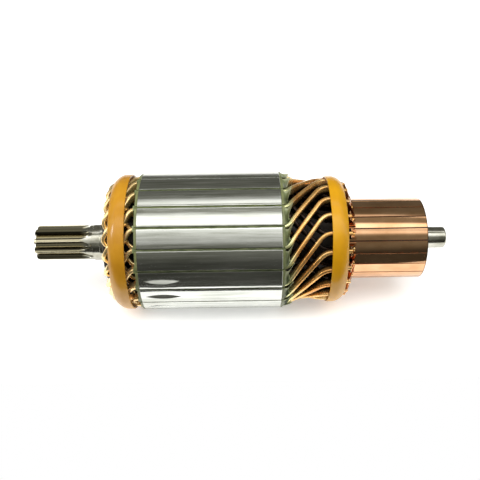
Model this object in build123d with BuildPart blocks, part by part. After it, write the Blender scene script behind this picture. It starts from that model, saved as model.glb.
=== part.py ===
from build123d import *
import os
from math import acos, atan2, cos, degrees, hypot, pi, radians, sin, tan

# Armature of a four pole starter motor, lying on its side.
# Lengths are in millimetres. X runs along the shaft towards the commutator,
# Z is up, and the origin is on the shaft's axis at the middle of the core.
# Angles turn about X, from +Y towards +Z. A slot faces straight down.

# How far a cutting shape reaches past what it cuts
cut_over = 0.5

# Winding and bar counts
slot_count = 21
coil_span = 5
end_turn = 2.5
slot_pitch = 360 / slot_count
bottom = -90

# Laminated core
core_r = 37.8
stack_length = 73.4
lamination_end = 1.3
end_disc_step = 0.25
slot_mouth = 1.1
slot_lip = 1.05
balance_tooth = 15
balance_cuts = 3
balance_length = 18.5
balance_depth = 1.6
balance_flank = 50.0
balance_from_end = 11.7

# Copper bars and the paper round them
bar_width = 2.2
bar_height = 4.7
paper = 0.35
layer_gap = 0.7
liner_out = 0.9
cuff_length = 2.8
cuff_turn = 8.15
bend_gap = 1.4
drive_bend_gap = 2.3

# End winding towards the commutator, drops measured from the core's radius
waist_drop = 4.8
waist_steps = 3
seat_drop = 3.9
seat_lead = -4.1
seat_length = 7.9
seat_layer_gap = 0.7
riser_lead_in = 1.2
lower_drop_lead = 1.2
lower_waist_drop = 0.3
ring_wall = 0.5
ring_fit = 0.02

# End winding towards the drive end
drive_waist_drop = 4.0
nose_reach = 13.2
nose_drop = 4.5
nose_inner_drop = 10.0
nose_width = 8.2
nose_run = 3.4

# Bands
band_fit = 0.12
band_wall = 0.9
band_gap = 24.6
band_flat = 3.0
band_width = 9.0
band_edge_wall = 0.45
crown_steps = 3
drive_band_gap = 5.0
drive_band_flat = 3.2
drive_band_width = 8.7
drive_band_edge_wall = 0.6
drive_band_rise = 0.6
drive_band_step = 0.4

# Commutator
commutator_length = 38.0
commutator_turn = -3.1
mica = 0.8
undercut = 0.8
riser_gap = 0.3
riser_length = 4.4
riser_drop = 2.3
riser_width = 5.2
riser_tip = 0.5
rim_share = 0.2
neck_share = 0.35
depth_share = 0.55
dovetail = 3.0
segment_chamfer = 0.6
hub_flange = 0.9
hub_inset = 1.0
sleeve_wall = 2.2

# Shaft, from the drive end to the commutator end
tooth_length = 24.6
runout_length = 7.3
runout_arc = 80
journal_end = 5.0
journal_length = 4.2
groove_width = 2.5
groove_r = 8.8
ring_r = 10.8
ring_gap = 3.0
journal_r = 10.0
core_seat_r = 11.2
core_seat_over = 2.0
commutator_seat_r = 10.2
tip_journal_r = 6.0
tip_length = 13.6
tip_reach = 14.9
end_chamfer = 1.0
centre_r = 2.4
centre_pilot_r = 0.8
centre_depth = 2.8

# Pinion teeth, cut in the shaft itself
tooth_count = 9
module = 1.75
tip_r = 9.65
root_r = 5.75
tooth_turn = 6.0
pressure_angle = 20.0
tooth_chamfer = 1.2
root_share = 0.75

# Moulded supports round the shaft
support_gap = 0.7
support_cone = 1.8
support_face_r = 14.0
spacer_drop = 3.7

# What follows from the sizes above
core_half = stack_length / 2
pack_half = core_half + lamination_end
upper_top = core_r - slot_lip - paper
upper_r = upper_top - bar_height / 2
lower_top = upper_top - bar_height - layer_gap
lower_r = lower_top - bar_height / 2
slot_floor = lower_top - bar_height - paper
slot_width = bar_width + 2 * paper
slot_top = core_r - slot_lip
twist = end_turn * slot_pitch
bend_x = pack_half + bend_gap
drive_bend_x = -pack_half - drive_bend_gap
core_seat_end = pack_half + core_seat_over
waist_r = core_r - waist_drop
seat_r = core_r - seat_drop
drive_waist_r = core_r - drive_waist_drop
nose_r = core_r - nose_drop
nose_inner_r = core_r - nose_inner_drop
band_start = pack_half + band_gap
seat_start = band_start + seat_lead
riser_start = band_start + band_width + riser_gap
commutator_start = riser_start + riser_length
commutator_end = commutator_start + commutator_length
shaft_end = commutator_end + tip_reach
riser_top = seat_r - riser_drop
commutator_r = riser_top - 2 * bar_height
commutator_wall = commutator_r - commutator_seat_r
segment_rim = rim_share * commutator_wall
segment_neck = neck_share * commutator_wall
segment_depth = depth_share * commutator_wall
sleeve_r = commutator_seat_r + sleeve_wall
spacer_r = commutator_r - spacer_drop
support_r = nose_inner_r - bar_height - support_gap
drive_band_start = -pack_half - drive_band_gap
nose_end = drive_band_start - nose_reach
groove_start = nose_end - journal_end
tooth_end = groove_start - journal_length - runout_length
shaft_start = tooth_end - tooth_length
riser_slope = (commutator_start - riser_start - riser_tip) / (riser_top - commutator_r)
seat_end = seat_start + seat_length
drop_end = riser_start - riser_lead_in
drop_shift = bar_height / 2 * tan(atan2(seat_r - riser_top, drop_end - seat_end) / 2)
hub_start = riser_start - hub_flange
hub_end = commutator_end - hub_inset
support_start = groove_start + groove_width


def axial(x):
    """Plane square to the shaft at x, with its sketch axes along Y and Z."""
    return Plane(origin=(x, 0, 0), x_dir=(0, 1, 0), z_dir=(1, 0, 0))


def turned(x, angle):
    """Plane square to the shaft at x, with its first axis pointing out at the angle."""
    outward = (0, cos(radians(angle)), sin(radians(angle)))
    return Plane(origin=(x, 0, 0), x_dir=outward, z_dir=(1, 0, 0))


def side(angle):
    """Plane through the shaft's axis: X along the shaft, Y outward at the angle."""
    across = (0, -sin(radians(angle)), cos(radians(angle)))
    return Plane(origin=(0, 0, 0), x_dir=(1, 0, 0), z_dir=across)


def slot_angle(index):
    return bottom + index * slot_pitch


def at(x, r, angle):
    return Vector(x, r * cos(radians(angle)), r * sin(radians(angle)))


def finish(part, name):
    """Label a finished piece and write it out."""
    part.label = name
    export_step(part, f"parts/{name}.step")


def turned_ring(points):
    """Ring or shaft turned from a closed outline of (x, radius) points."""
    with BuildPart() as ring:
        with BuildSketch(Plane.XY):
            with BuildLine():
                Polyline(*points, close=True)
            make_face()
        revolve(axis=Axis.X)
    return ring


def tooth_gap():
    """Half of the gap between two pinion teeth, as (radius, half width) points."""
    pitch_r = tooth_count * module / 2
    base_r = pitch_r * cos(radians(pressure_angle))
    roll = tan(radians(pressure_angle)) - radians(pressure_angle)

    def half_width(r):
        opened = acos(min(1.0, base_r / r))
        flank = tan(opened) - opened
        return r * sin(pi / (2 * tooth_count) + flank - roll)

    mouth_r = tip_r + cut_over
    return [
        (root_r, half_width(root_r) * root_share),
        (base_r, half_width(base_r)),
        ((base_r + mouth_r) / 2, half_width((base_r + mouth_r) / 2)),
        (mouth_r, half_width(mouth_r)),
    ]


def gap_face(plane):
    """Outline of one tooth gap in the given plane, flanks as curves."""
    root, base, middle, mouth = tooth_gap()
    with BuildSketch(plane) as face:
        with BuildLine():
            Line((root[0], -root[1]), root)
            Line(root, base)
            ThreePointArc(base, middle, mouth)
            Line(mouth, (mouth[0], -mouth[1]))
            ThreePointArc((mouth[0], -mouth[1]), (middle[0], -middle[1]), (base[0], -base[1]))
            Line((base[0], -base[1]), (root[0], -root[1]))
        make_face()
    return face


def make_shaft():
    tip_start = shaft_end - tip_length
    outline = [
        (shaft_start, 0),
        (shaft_start, tip_r - tooth_chamfer),
        (shaft_start + tooth_chamfer, tip_r),
        (tooth_end + runout_length, tip_r),
        (tooth_end + runout_length, journal_r),
        (groove_start, journal_r),
        (groove_start, groove_r),
        (support_start, groove_r),
        (support_start, core_seat_r),
        (core_seat_end, core_seat_r),
        (core_seat_end, commutator_seat_r),
        (tip_start, commutator_seat_r),
        (tip_start, tip_journal_r),
        (shaft_end - end_chamfer, tip_journal_r),
        (shaft_end, tip_journal_r - end_chamfer),
        (shaft_end, 0),
    ]
    depth = tip_r - root_r
    hob_r = (runout_length**2 + depth**2) / (2 * depth)
    with BuildPart() as shaft:
        with BuildSketch(Plane.XY):
            with BuildLine():
                Polyline(*outline, close=True)
            make_face()
        revolve(axis=Axis.X)
        for index in range(tooth_count):
            angle = bottom + tooth_turn + index * 360 / tooth_count
            start = gap_face(turned(shaft_start, angle))
            extrude(start.sketch, amount=tooth_end - shaft_start, mode=Mode.SUBTRACT)
            end = gap_face(turned(tooth_end, angle))
            turning = Axis(at(tooth_end, root_r + hob_r, angle), at(0, 1, angle + 90))
            revolve(end.sketch, axis=turning, revolution_arc=runout_arc, mode=Mode.SUBTRACT)
        for face_x, inward in ((shaft_start, 1), (shaft_end, -1)):
            deep = face_x + inward * centre_depth
            with BuildSketch(Plane.XY):
                with BuildLine():
                    Polyline((face_x, 0), (face_x, centre_r), (deep, centre_pilot_r), (deep, 0), close=True)
                make_face()
            revolve(axis=Axis.X, mode=Mode.SUBTRACT)
    finish(shaft.part, "shaft")


def make_thrust_ring():
    with BuildPart() as ring:
        with BuildSketch(axial(groove_start)):
            Circle(ring_r)
            Circle(groove_r, mode=Mode.SUBTRACT)
            with Locations((ring_r, 0)):
                Rectangle(ring_r, ring_gap, mode=Mode.SUBTRACT)
        extrude(amount=groove_width)
    finish(ring.part, "thrust_ring")


def lamination(outer_r):
    """One lamination: a ring with a half closed slot for each pair of bars."""
    with BuildSketch(Plane.XY) as sheet:
        Circle(outer_r)
        Circle(core_seat_r, mode=Mode.SUBTRACT)
        with PolarLocations(0, slot_count, start_angle=bottom):
            with Locations(((slot_floor + slot_top) / 2, 0)):
                Rectangle(slot_top - slot_floor, slot_width, mode=Mode.SUBTRACT)
            with Locations((core_r, 0)):
                Rectangle(2 * (slot_lip + cut_over), slot_mouth, mode=Mode.SUBTRACT)
    return sheet


def make_core():
    sheet = lamination(core_r)
    cutter_r = (balance_length**2 / 4 + balance_depth**2) / (2 * balance_depth)
    with BuildPart() as stack:
        with BuildSketch(axial(-core_half)):
            add(sheet.sketch)
        extrude(amount=stack_length)
        for index in range(balance_cuts):
            angle = slot_angle(balance_tooth + index + 0.5)
            wheel_x = balance_from_end - core_half
            wheel_r = core_r - balance_depth + cutter_r
            rim = balance_depth + cut_over
            flank = rim * tan(radians(balance_flank))
            wheel = Plane(
                origin=at(wheel_x, wheel_r, angle),
                x_dir=at(0, 1, angle + 90),
                z_dir=(1, 0, 0),
            )
            with BuildSketch(wheel) as disc:
                with BuildLine():
                    Polyline((0, cutter_r), (-flank, cutter_r - rim), (flank, cutter_r - rim), close=True)
                make_face()
            turning = Axis(at(wheel_x, wheel_r, angle), at(0, 1, angle + 90))
            revolve(disc.sketch, axis=turning, mode=Mode.SUBTRACT)
    finish(stack.part, "lamination_stack")


def make_end_disc(name, x):
    sheet = lamination(core_r - end_disc_step)
    with BuildPart() as disc:
        with BuildSketch(axial(x)):
            add(sheet.sketch)
        extrude(amount=lamination_end)
    finish(disc.part, name)


def make_slot_liners():
    reach = upper_top - slot_floor
    middle_r = (slot_floor + upper_top) / 2
    with BuildPart() as liner:
        with BuildSketch(turned(-pack_half - liner_out, bottom)):
            with Locations(((slot_floor + slot_top) / 2, 0)):
                Rectangle(slot_top - slot_floor, slot_width)
                Rectangle(slot_top - slot_floor - 2 * paper, bar_width, mode=Mode.SUBTRACT)
        extrude(amount=2 * pack_half + liner_out)
        for direction in (-1, 1):
            with BuildSketch(turned(pack_half, bottom)) as in_slot:
                with Locations((middle_r, direction * (bar_width + paper) / 2)):
                    Rectangle(reach, paper)
            with BuildSketch(turned(pack_half + cuff_length, bottom + direction * cuff_turn)) as opened:
                with Locations((middle_r, 0)):
                    Rectangle(reach, paper)
            loft([in_slot.sketch, opened.sketch], ruled=True)
    with BuildPart() as liners:
        add([liner.part.rotate(Axis.X, index * slot_pitch) for index in range(slot_count)])
    finish(liners.part, "slot_liners")


def riser_end(radius):
    """Place along the shaft where the sloping riser face passes the radius."""
    return riser_start + riser_tip + (riser_top - radius) * riser_slope


def between(start, end, waist):
    """Stations that sag from one to the next, as straight bars wound round a cylinder do."""
    sag = (start[1] + end[1]) / 2 - waist
    stations = []
    for step in range(1, waist_steps):
        share = step / waist_steps
        x, r, angle = (a + share * (b - a) for a, b in zip(start, end))
        stations.append((x, r - 4 * share * (1 - share) * sag, angle))
    return stations


def leg_stations(angle, lead, slot_r, waist, seat, riser, drop):
    """One leg from its slot to its riser, as (x, radius, angle) of the bar's middle."""
    start = (bend_x, slot_r, angle)
    seated = (seat_start, seat, angle + lead)
    return [
        start,
        *between(start, seated, waist),
        seated,
        (seat_end, seat, angle + lead),
        (drop, riser, angle + lead),
        (riser_end(riser), riser, angle + lead),
    ]


def coil_stations():
    """A hairpin from its upper riser, round the nose and back to its lower riser."""
    half = bar_height / 2
    first = bottom
    second = bottom + coil_span * slot_pitch
    upper = leg_stations(
        first,
        commutator_turn - twist,
        upper_r,
        waist_r - half,
        seat_r - half,
        riser_top - half,
        drop_end,
    )
    lower = leg_stations(
        second,
        commutator_turn + twist,
        lower_r,
        waist_r - 3 * half - layer_gap - lower_waist_drop,
        seat_r - 3 * half - seat_layer_gap,
        riser_top - 3 * half,
        drop_end - lower_drop_lead,
    )
    middle = first + twist
    half_nose = degrees(nose_width / 2 / nose_r)
    nose_start = nose_end + nose_run
    out_of_slot = (drive_bend_x, upper_r, first)
    into_nose = (nose_start, nose_r - half, middle - half_nose)
    out_of_nose = (nose_start, nose_inner_r - half, middle + half_nose)
    into_slot = (drive_bend_x, lower_r, second)
    nose = [
        out_of_slot,
        *between(out_of_slot, into_nose, drive_waist_r - half),
        into_nose,
        (nose_end + bar_width / 2, (nose_r + nose_inner_r) / 2 - half, middle),
        out_of_nose,
        *between(out_of_nose, into_slot, drive_waist_r - 3 * half - layer_gap - lower_waist_drop),
        into_slot,
    ]
    return upper[::-1] + nose + lower


def bar_sections(stations):
    """The bar's four corners at each station, in the mitre plane between its two runs."""
    points = [at(*station) for station in stations]
    runs = [(end - start).normalized() for start, end in zip(points, points[1:])]
    sections = []
    for index, (point, (x, r, angle)) in enumerate(zip(points, stations)):
        outward = at(0, 1, angle)
        before = runs[max(index - 1, 0)]
        after = runs[min(index, len(runs) - 1)]
        along = before if abs(before.X) > abs(after.X) else after
        normal = before + after
        if index in (0, len(runs)):
            normal = (Vector(1, 0, 0) + outward * riser_slope) * along.X
        across = along.cross(outward).normalized() * (bar_width / 2)
        up = across.cross(along).normalized() * (bar_height / 2)
        corners = (across + up, up - across, -across - up, across - up)
        slid = [corner - along * (corner.dot(normal) / along.dot(normal)) for corner in corners]
        sections.append([point + corner for corner in slid])
    return sections


def make_coils():
    sections = bar_sections(coil_stations())
    with BuildPart() as coil:
        for start, end in zip(sections, sections[1:]):
            ConvexPolyhedron(start + end)
    for index in range(slot_count):
        finish(coil.part.rotate(Axis.X, index * slot_pitch), f"coil_{index + 1:02d}")


def make_layer_ring():
    """Strip wound between the two layers where the outer band holds them."""
    inner_r = hypot(seat_r - bar_height - seat_layer_gap, bar_width / 2) + ring_fit
    start = band_start + bar_width / 2
    end = seat_end - drop_shift
    outline = [(start, inner_r), (end, inner_r), (end, inner_r + ring_wall), (start, inner_r + ring_wall)]
    finish(turned_ring(outline).part, "layer_ring")


def make_band(name, start, direction, flat, width, outer_r, inner_points, edge_r):
    """Resin bound tape: flat where it starts and crowned towards its free edge."""
    corner = start + direction * flat
    edge = start + direction * width
    crown = TangentArc((corner, outer_r), (edge, edge_r), tangent=(direction, 0))
    turns = [tuple(crown @ (step / crown_steps))[:2] for step in range(crown_steps + 1)]
    finish(turned_ring([*inner_points, (start, outer_r), *turns]).part, name)


def make_bands():
    corner_r = hypot(seat_r, bar_width / 2) + band_fit
    riser_r = hypot(riser_top, bar_width / 2) + band_fit
    inner = [
        (band_start + band_width, riser_r),
        (drop_end + drop_shift, riser_r),
        (seat_end + drop_shift, corner_r),
        (band_start, corner_r),
    ]
    edge_r = riser_r + band_edge_wall
    make_band("commutator_end_band", band_start, 1, band_flat, band_width, corner_r + band_wall, inner, edge_r)
    waist = drive_waist_r + 2 * band_fit
    drive_outer_r = core_r - drive_band_step
    inner = [
        (drive_band_start - drive_band_width, waist),
        (drive_band_start - drive_band_flat, waist + drive_band_rise),
        (drive_band_start, drive_outer_r - band_wall),
    ]
    edge_r = waist + drive_band_edge_wall
    make_band(
        "drive_end_band",
        drive_band_start,
        -1,
        drive_band_flat,
        drive_band_width,
        drive_outer_r,
        inner,
        edge_r,
    )


def dovetail_outline():
    """Underside of a segment from its outer end to its riser end, with a foot for the moulding."""
    foot = dovetail / 2
    return [
        (commutator_end, commutator_r - segment_rim),
        (commutator_end - dovetail, commutator_r - segment_neck),
        (commutator_end - foot, commutator_r - segment_depth),
        (riser_start + foot, commutator_r - segment_depth),
        (riser_start + dovetail, commutator_r - segment_neck),
        (riser_start, commutator_r - segment_rim),
    ]


def make_segments():
    """Copper segments, each with the riser that holds an upper and a lower bar."""
    start_angle = bottom + commutator_turn
    middle = start_angle + slot_pitch / 2
    with BuildPart() as segment:
        with BuildSketch(side(start_angle)):
            with BuildLine():
                Polyline(
                    (riser_start, commutator_r),
                    (commutator_end - segment_chamfer, commutator_r),
                    (commutator_end, commutator_r - segment_chamfer),
                    *dovetail_outline(),
                    close=True,
                )
            make_face()
        revolve(axis=Axis.X, revolution_arc=slot_pitch)
        for edge in (start_angle, start_angle + slot_pitch):
            with BuildSketch(side(edge)):
                with Locations(((riser_start + commutator_end) / 2, commutator_r / 2)):
                    Rectangle(2 * commutator_length, commutator_r + 2 * cut_over)
            extrude(amount=mica / 2, both=True, mode=Mode.SUBTRACT)
        with BuildSketch(side(middle)):
            with BuildLine():
                Polyline(
                    (riser_start, commutator_r - undercut),
                    (riser_start, riser_top),
                    (riser_start + riser_tip, riser_top),
                    (commutator_start, commutator_r),
                    (commutator_start, commutator_r - undercut),
                    close=True,
                )
            make_face()
        extrude(amount=riser_width / 2, both=True)
        with BuildSketch(side(middle)):
            with Locations(((riser_start + commutator_start) / 2, commutator_r + bar_height)):
                Rectangle(commutator_length, 2 * bar_height)
        extrude(amount=bar_width / 2, both=True, mode=Mode.SUBTRACT)
    for index in range(slot_count):
        turned_copy = segment.part.rotate(Axis.X, index * slot_pitch)
        finish(turned_copy, f"commutator_segment_{index + 1:02d}")


def make_mica():
    """Mica sheets between the segments, undercut below the copper."""
    top = commutator_r - undercut
    middle = bottom + commutator_turn
    with BuildPart() as sheet:
        with BuildSketch(side(middle - slot_pitch / 2)):
            with BuildLine():
                Polyline((riser_start, top), (commutator_end, top), *dovetail_outline(), close=True)
            make_face()
        revolve(axis=Axis.X, revolution_arc=slot_pitch)
        with BuildSketch(side(middle)):
            with Locations(((riser_start + commutator_end) / 2, commutator_r / 2)):
                Rectangle(2 * commutator_length, commutator_r + 2 * cut_over)
        extrude(amount=mica / 2, both=True, mode=Mode.INTERSECT)
    with BuildPart() as sheets:
        add([sheet.part.rotate(Axis.X, index * slot_pitch) for index in range(slot_count)])
    finish(sheets.part, "mica_sheets")


def make_hub():
    """Moulding that grips the feet of the segments, on a steel sleeve."""
    outline = [
        (hub_start, sleeve_r),
        (hub_end, sleeve_r),
        *dovetail_outline(),
        (hub_start, commutator_r - segment_rim),
    ]
    finish(turned_ring(outline).part, "commutator_hub")
    sleeve = [
        (hub_start, commutator_seat_r),
        (hub_end, commutator_seat_r),
        (hub_end, sleeve_r),
        (hub_start, sleeve_r),
    ]
    finish(turned_ring(sleeve).part, "commutator_sleeve")


def make_supports():
    """Moulded ring under the hairpin noses, and the insulating tube before the commutator."""
    ring = [
        (-pack_half, core_seat_r),
        (-pack_half, support_r),
        (support_start + support_cone, support_r),
        (support_start, support_face_r),
        (support_start, core_seat_r),
    ]
    finish(turned_ring(ring).part, "drive_end_support")
    tube = [
        (core_seat_end, commutator_seat_r),
        (hub_start, commutator_seat_r),
        (hub_start, spacer_r),
        (pack_half, spacer_r),
        (pack_half, core_seat_r),
        (core_seat_end, core_seat_r),
    ]
    finish(turned_ring(tube).part, "insulating_tube")


os.makedirs("parts", exist_ok=True)
make_shaft()
make_thrust_ring()
make_core()
make_end_disc("drive_end_lamination", -pack_half)
make_end_disc("commutator_end_lamination", core_half)
make_slot_liners()
make_coils()
make_layer_ring()
make_bands()
make_segments()
make_mica()
make_hub()
make_supports()
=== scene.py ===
from math import acos, asin, atan2, cos, degrees, hypot, pi, radians, sin, sqrt, tan

import bmesh
import bpy
from mathutils import Matrix, Vector, noise


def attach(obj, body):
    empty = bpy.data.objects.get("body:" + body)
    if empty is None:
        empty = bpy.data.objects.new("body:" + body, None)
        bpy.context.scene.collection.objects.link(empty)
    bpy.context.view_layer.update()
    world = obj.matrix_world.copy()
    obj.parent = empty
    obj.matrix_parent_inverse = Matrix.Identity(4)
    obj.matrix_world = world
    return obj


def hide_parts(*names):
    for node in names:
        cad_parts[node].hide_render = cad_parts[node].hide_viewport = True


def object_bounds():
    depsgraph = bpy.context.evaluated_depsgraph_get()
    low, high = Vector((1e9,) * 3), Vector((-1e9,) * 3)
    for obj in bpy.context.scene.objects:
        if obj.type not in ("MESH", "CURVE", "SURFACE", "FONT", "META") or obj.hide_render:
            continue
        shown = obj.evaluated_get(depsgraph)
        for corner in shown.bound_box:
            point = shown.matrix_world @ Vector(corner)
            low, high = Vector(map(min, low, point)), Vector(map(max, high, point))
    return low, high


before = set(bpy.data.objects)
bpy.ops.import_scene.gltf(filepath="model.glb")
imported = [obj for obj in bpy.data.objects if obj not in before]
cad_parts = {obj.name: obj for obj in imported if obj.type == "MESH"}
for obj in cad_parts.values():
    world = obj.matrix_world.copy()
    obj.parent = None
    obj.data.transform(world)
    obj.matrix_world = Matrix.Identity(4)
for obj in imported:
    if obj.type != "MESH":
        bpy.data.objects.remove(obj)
cad_low, cad_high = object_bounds()

# Armature of a starter motor. Lengths below are in millimetres and become metres in
# the meshes. X runs along the shaft towards the commutator, Z is up, and angles turn
# about X from +Y towards +Z, so -90 degrees faces the floor. Materials, floor, camera
# and lights are in metres.
MM = 0.001
SLOTS = 21
PITCH = 360 / SLOTS
BOTTOM = -90.0
SHAFT_R = 11.2
CORE_R = 37.8
CORE_HALF = 36.7
CORE_EDGE = 0.12
PACK_HALF = 38.0
SLOT_TOP = 36.75
SLOT_FLOOR = 25.95
SLOT_WIDTH = 2.9
MOUTH = 1.1

# The photograph's view.
LENS = 46.5
VIEW_ELEVATION = 37.0
VIEW_DISTANCE = 0.347
VIEW_AIM = (0.0153, 0.0, 0.0)
VIEW_ROLL = -0.85


def make_camera():
    data = bpy.data.cameras.new("photo_camera")
    data.lens = LENS
    data.sensor_width = 36.0
    data.clip_start = 0.01
    data.clip_end = 20.0
    camera = bpy.data.objects.new("photo_camera", data)
    bpy.context.scene.collection.objects.link(camera)
    elevation = radians(VIEW_ELEVATION)
    back = Vector((0.0, -cos(elevation), sin(elevation)))
    camera.location = Vector(VIEW_AIM) + back * VIEW_DISTANCE
    look = (-back).to_track_quat("-Z", "Y")
    roll = Matrix.Rotation(radians(VIEW_ROLL), 4, "Z")
    camera.matrix_world = Matrix.Translation(camera.location) @ look.to_matrix().to_4x4() @ roll
    bpy.context.scene.camera = camera


make_camera()


# Helpers for points and meshes.
def polar(x, r, angle):
    a = radians(angle)
    return Vector((x * MM, r * cos(a) * MM, r * sin(a) * MM))


def axes(angle):
    """Directions away from the shaft and round it, at an angle."""
    a = radians(angle)
    return Vector((0, cos(a), sin(a))), Vector((0, -sin(a), cos(a)))


def new_object(name, mesh):
    piece = bpy.data.objects.new(name, mesh)
    bpy.context.scene.collection.objects.link(piece)
    return piece


def mesh_from(name, points, faces, sharp=35.0):
    mesh = bpy.data.meshes.new(name)
    mesh.from_pydata([tuple(p) for p in points], [], faces)
    mesh.validate()
    work = bmesh.new()
    work.from_mesh(mesh)
    bmesh.ops.remove_doubles(work, verts=work.verts, dist=1e-7)
    bmesh.ops.dissolve_degenerate(work, dist=1e-7, edges=work.edges)
    bmesh.ops.recalc_face_normals(work, faces=work.faces)
    work.to_mesh(mesh)
    work.free()
    mesh.shade_smooth()
    mesh.set_sharp_from_angle(angle=radians(sharp))
    return mesh


def wrap(rows, count, base=0):
    """Faces between neighbouring rows of count points each, every row a closed ring."""
    faces = []
    for k in range(rows - 1):
        here = base + k * count
        there = here + count
        for j in range(count):
            n = (j + 1) % count
            faces.append((here + j, here + n, there + n, there + j))
    return faces


def caps(rows, count, base=0):
    """The faces that close the first and the last row."""
    last = base + (rows - 1) * count
    return [tuple(range(base, base + count)), tuple(range(last, last + count))]


def skin(name, rows, sharp=35.0, capped=False):
    """Mesh over rows of points."""
    count = len(rows[0])
    faces = wrap(len(rows), count)
    if capped:
        faces += caps(len(rows), count)
    return mesh_from(name, [p for row in rows for p in row], faces, sharp)


def rounded(points, radius, steps):
    """Closed outline with its corners rounded by arcs, of one radius or a list of them."""
    out = []
    count = len(points)
    for index in range(count):
        p = Vector(points[index - 1])
        c = Vector(points[index])
        n = Vector(points[(index + 1) % count])
        r = radius[index] if isinstance(radius, list) else radius
        a, b = (p - c), (n - c)
        if r <= 0 or a.length < 1e-9 or b.length < 1e-9:
            out.append(tuple(c))
            continue
        a.normalize()
        b.normalize()
        half = acos(max(-1, min(1, a.dot(b)))) / 2
        if half > radians(87):
            out.append(tuple(c))
            continue
        back = min(r / tan(half), (p - c).length * 0.45, (n - c).length * 0.45)
        r = back * tan(half)
        centre = c + (a + b).normalized() * (r / sin(half))
        start = c + a * back - centre
        end = c + b * back - centre
        turn = start.angle_signed(end)
        for step in range(steps + 1):
            q = start.copy()
            q.rotate(Matrix.Rotation(-turn * step / steps, 2))
            out.append(tuple(centre + q))
    return out


def lathe(name, outline, around, wobble=None):
    """Ring turned about the shaft from a closed outline of (x, radius) points."""
    points, faces = [], []
    count = len(outline)
    for k in range(around):
        angle = 360 * k / around
        for x, r in outline:
            if wobble:
                x, r = wobble(x, r, angle)
            points.append(polar(x, r, angle))
    for k in range(around):
        m = (k + 1) % around
        for j in range(count):
            n = (j + 1) % count
            faces.append((k * count + j, k * count + n, m * count + n, m * count + j))
    return mesh_from(name, points, faces)


def show(piece, slot, material, *nodes):
    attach(piece, "root")
    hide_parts(*nodes)
    piece.data.materials.clear()
    piece.data.materials.append(material)


# Materials.
class Shader:
    """Short hand for a principled material and its node graph."""

    def __init__(self, name, **values):
        self.material = bpy.data.materials.new(name)
        self.material.use_nodes = True
        self.tree = self.material.node_tree
        self.links = self.tree.links
        self.bsdf = self.tree.nodes["Principled BSDF"]
        for key, value in values.items():
            self.bsdf.inputs[key.replace("_", " ")].default_value = value

    def node(self, kind):
        return self.tree.nodes.new(kind)

    def place(self):
        return self.node("ShaderNodeTexCoord").outputs["Object"]

    def noise(self, scale, detail=4.0):
        mapping = self.node("ShaderNodeMapping")
        mapping.inputs["Scale"].default_value = scale
        self.links.new(self.place(), mapping.inputs["Vector"])
        made = self.node("ShaderNodeTexNoise")
        made.inputs["Scale"].default_value = 1.0
        made.inputs["Detail"].default_value = detail
        made.inputs["Roughness"].default_value = 0.55
        self.links.new(mapping.outputs["Vector"], made.inputs["Vector"])
        return made.outputs["Fac"]

    def ramp(self, value, stops):
        made = self.node("ShaderNodeValToRGB")
        elements = made.color_ramp.elements
        while len(elements) < len(stops):
            elements.new(0.5)
        for element, (place, colour) in zip(elements, stops):
            element.position = place
            element.color = (*colour, 1.0)
        self.links.new(value, made.inputs["Fac"])
        return made.outputs["Color"]

    def span(self, value, low, high, to_low, to_high):
        made = self.node("ShaderNodeMapRange")
        made.inputs["From Min"].default_value = low
        made.inputs["From Max"].default_value = high
        made.inputs["To Min"].default_value = to_low
        made.inputs["To Max"].default_value = to_high
        self.links.new(value, made.inputs["Value"])
        return made.outputs["Result"]

    def math(self, operation, a, b):
        made = self.node("ShaderNodeMath")
        made.operation = operation
        for socket, value in zip(made.inputs, (a, b)):
            if isinstance(value, (int, float)):
                socket.default_value = value
            else:
                self.links.new(value, socket)
        return made.outputs["Value"]

    def mix(self, factor, a, b, blend="MIX"):
        made = self.node("ShaderNodeMix")
        made.data_type = "RGBA"
        made.blend_type = blend
        for name, value in (("Factor", factor), ("A", a), ("B", b)):
            socket = [s for s in made.inputs if s.name == name and s.enabled][0]
            if isinstance(value, (int, float)):
                socket.default_value = value
            elif isinstance(value, tuple):
                socket.default_value = (*value, 1.0)
            else:
                self.links.new(value, socket)
        return [s for s in made.outputs if s.enabled][0]

    def colour(self, socket):
        self.links.new(socket, self.bsdf.inputs["Base Color"])

    def roughness(self, socket):
        self.links.new(socket, self.bsdf.inputs["Roughness"])

    def bump(self, height, strength, distance):
        made = self.node("ShaderNodeBump")
        made.inputs["Strength"].default_value = strength
        made.inputs["Distance"].default_value = distance
        self.links.new(height, made.inputs["Height"])
        self.links.new(made.outputs["Normal"], self.bsdf.inputs["Normal"])

    def along(self):
        """Place along the shaft, in metres."""
        split = self.node("ShaderNodeSeparateXYZ")
        self.links.new(self.place(), split.inputs["Vector"])
        return split.outputs["X"]

    def radius(self):
        """Distance from the shaft's axis, in metres."""
        flat = self.node("ShaderNodeVectorMath")
        flat.operation = "MULTIPLY"
        flat.inputs[1].default_value = (0.0, 1.0, 1.0)
        self.links.new(self.place(), flat.inputs[0])
        length = self.node("ShaderNodeVectorMath")
        length.operation = "LENGTH"
        self.links.new(flat.outputs["Vector"], length.inputs[0])
        return length.outputs["Value"]


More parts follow.
